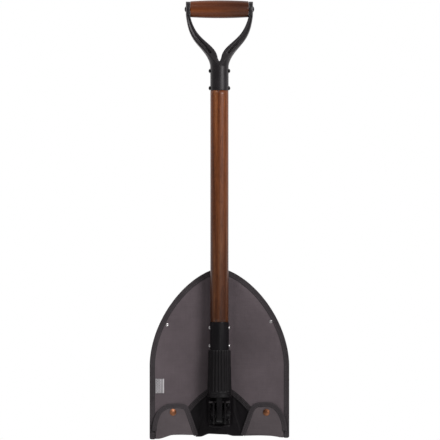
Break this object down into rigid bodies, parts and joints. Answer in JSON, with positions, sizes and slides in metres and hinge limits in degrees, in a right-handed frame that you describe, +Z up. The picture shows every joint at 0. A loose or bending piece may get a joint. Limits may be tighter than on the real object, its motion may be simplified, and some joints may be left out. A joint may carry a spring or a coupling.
{
  "type": "folding camp shovel",
  "caption": "Folding D-grip shovel with wooden shaft, screw-collar hinge lock and round-point blade folded up in a canvas cover with two snap flaps.",
  "frame": {"origin": "the point on the underside of the D-grip, at its middle, where a hook or peg bears", "axes": "+Z up along the shaft, -Y towards the side that the hinge faces, +X to the right seen from that side"},
  "size_m": [0.2438, 0.0517, 0.7659],
  "materials": {
    "walnut_shaft": "oiled",
    "walnut_grip": "oiled",
    "yoke_black": "satin powder coat",
    "rivet_black": "satin",
    "ferrule_black": "satin powder coat",
    "rivet_silver": "bright",
    "hinge_black": "black oxide",
    "bush_bronze": "turned",
    "collar_black": "satin",
    "blade_black": "satin",
    "canvas_grey": "waxed canvas",
    "binding_grey": "woven tape",
    "snap_copper": "antique copper",
    "label_white": "woven label"
  },
  "bodies": {
    "handle": {"shaft": "walnut_shaft", "yoke": "yoke_black", "grip": "walnut_grip", "grip_bolt": "rivet_black", "grip_nut": "rivet_black", "yoke_rivet_lower": "rivet_black", "yoke_rivet_upper": "rivet_black", "ferrule_rivet_lower": "rivet_silver", "ferrule_rivet_upper": "rivet_silver", "ferrule": "ferrule_black", "hinge_stub": "hinge_black", "tang_bush": "bush_bronze", "pivot_spacer_left": "hinge_black", "pivot_spacer_right": "hinge_black", "pivot_bolt": "hinge_black", "pivot_nut": "hinge_black"},
    "locking_ring": {"thrust_ring": "collar_black"},
    "locking_collar": {"collar_sleeve": "collar_black", "collar_nut": "bush_bronze"},
    "blade_and_cover": {"blade": "blade_black", "hinge_bracket": "hinge_black", "bracket_rivets": "hinge_black", "cover_front": "canvas_grey", "cover_back": "canvas_grey", "cover_edge_binding": "binding_grey", "cover_opening_binding": "binding_grey", "label": "label_white", "snap_stud_left": "snap_copper", "snap_stud_right": "snap_copper", "edge_rivet_left": "rivet_silver", "edge_rivet_right": "rivet_silver"},
    "left_flap": {"flap_left": "canvas_grey", "flap_binding_left": "binding_grey", "snap_cap_left": "snap_copper", "snap_socket_left": "snap_copper"},
    "right_flap": {"flap_right": "canvas_grey", "flap_binding_right": "binding_grey", "snap_cap_right": "snap_copper", "snap_socket_right": "snap_copper"}
  },
  "joints": [
    {"name": "blade_fold", "type": "hinge", "parent": "handle", "child": "blade_and_cover", "pos_m": [0, 0, -0.6878], "axis": [-1, 0, 0], "range_deg": [0, 180]},
    {"name": "collar_travel", "type": "slide", "parent": "handle", "child": "locking_ring", "axis": [0, 0, 1], "range_m": [-0.007, 0.003]},
    {"name": "collar_turn", "type": "hinge", "parent": "locking_ring", "child": "locking_collar", "pos_m": [0, 0, -0.6331], "axis": [0, 0, 1], "range_deg": [-630, 270]},
    {"name": "right_flap_open", "type": "hinge", "parent": "blade_and_cover", "child": "right_flap", "pos_m": [0.0785, 0.0187, -0.7269], "axis": [0.9553, -0.2958, 0], "range_deg": [0, 120]},
    {"name": "left_flap_open", "type": "hinge", "parent": "blade_and_cover", "child": "left_flap", "pos_m": [-0.0785, 0.0187, -0.7269], "axis": [0.9553, 0.2958, 0], "range_deg": [0, 120]}
  ],
  "couplings": [
    {"joint": "collar_travel", "follows": "collar_turn", "m_per_rad": 0.00063662}
  ]
}
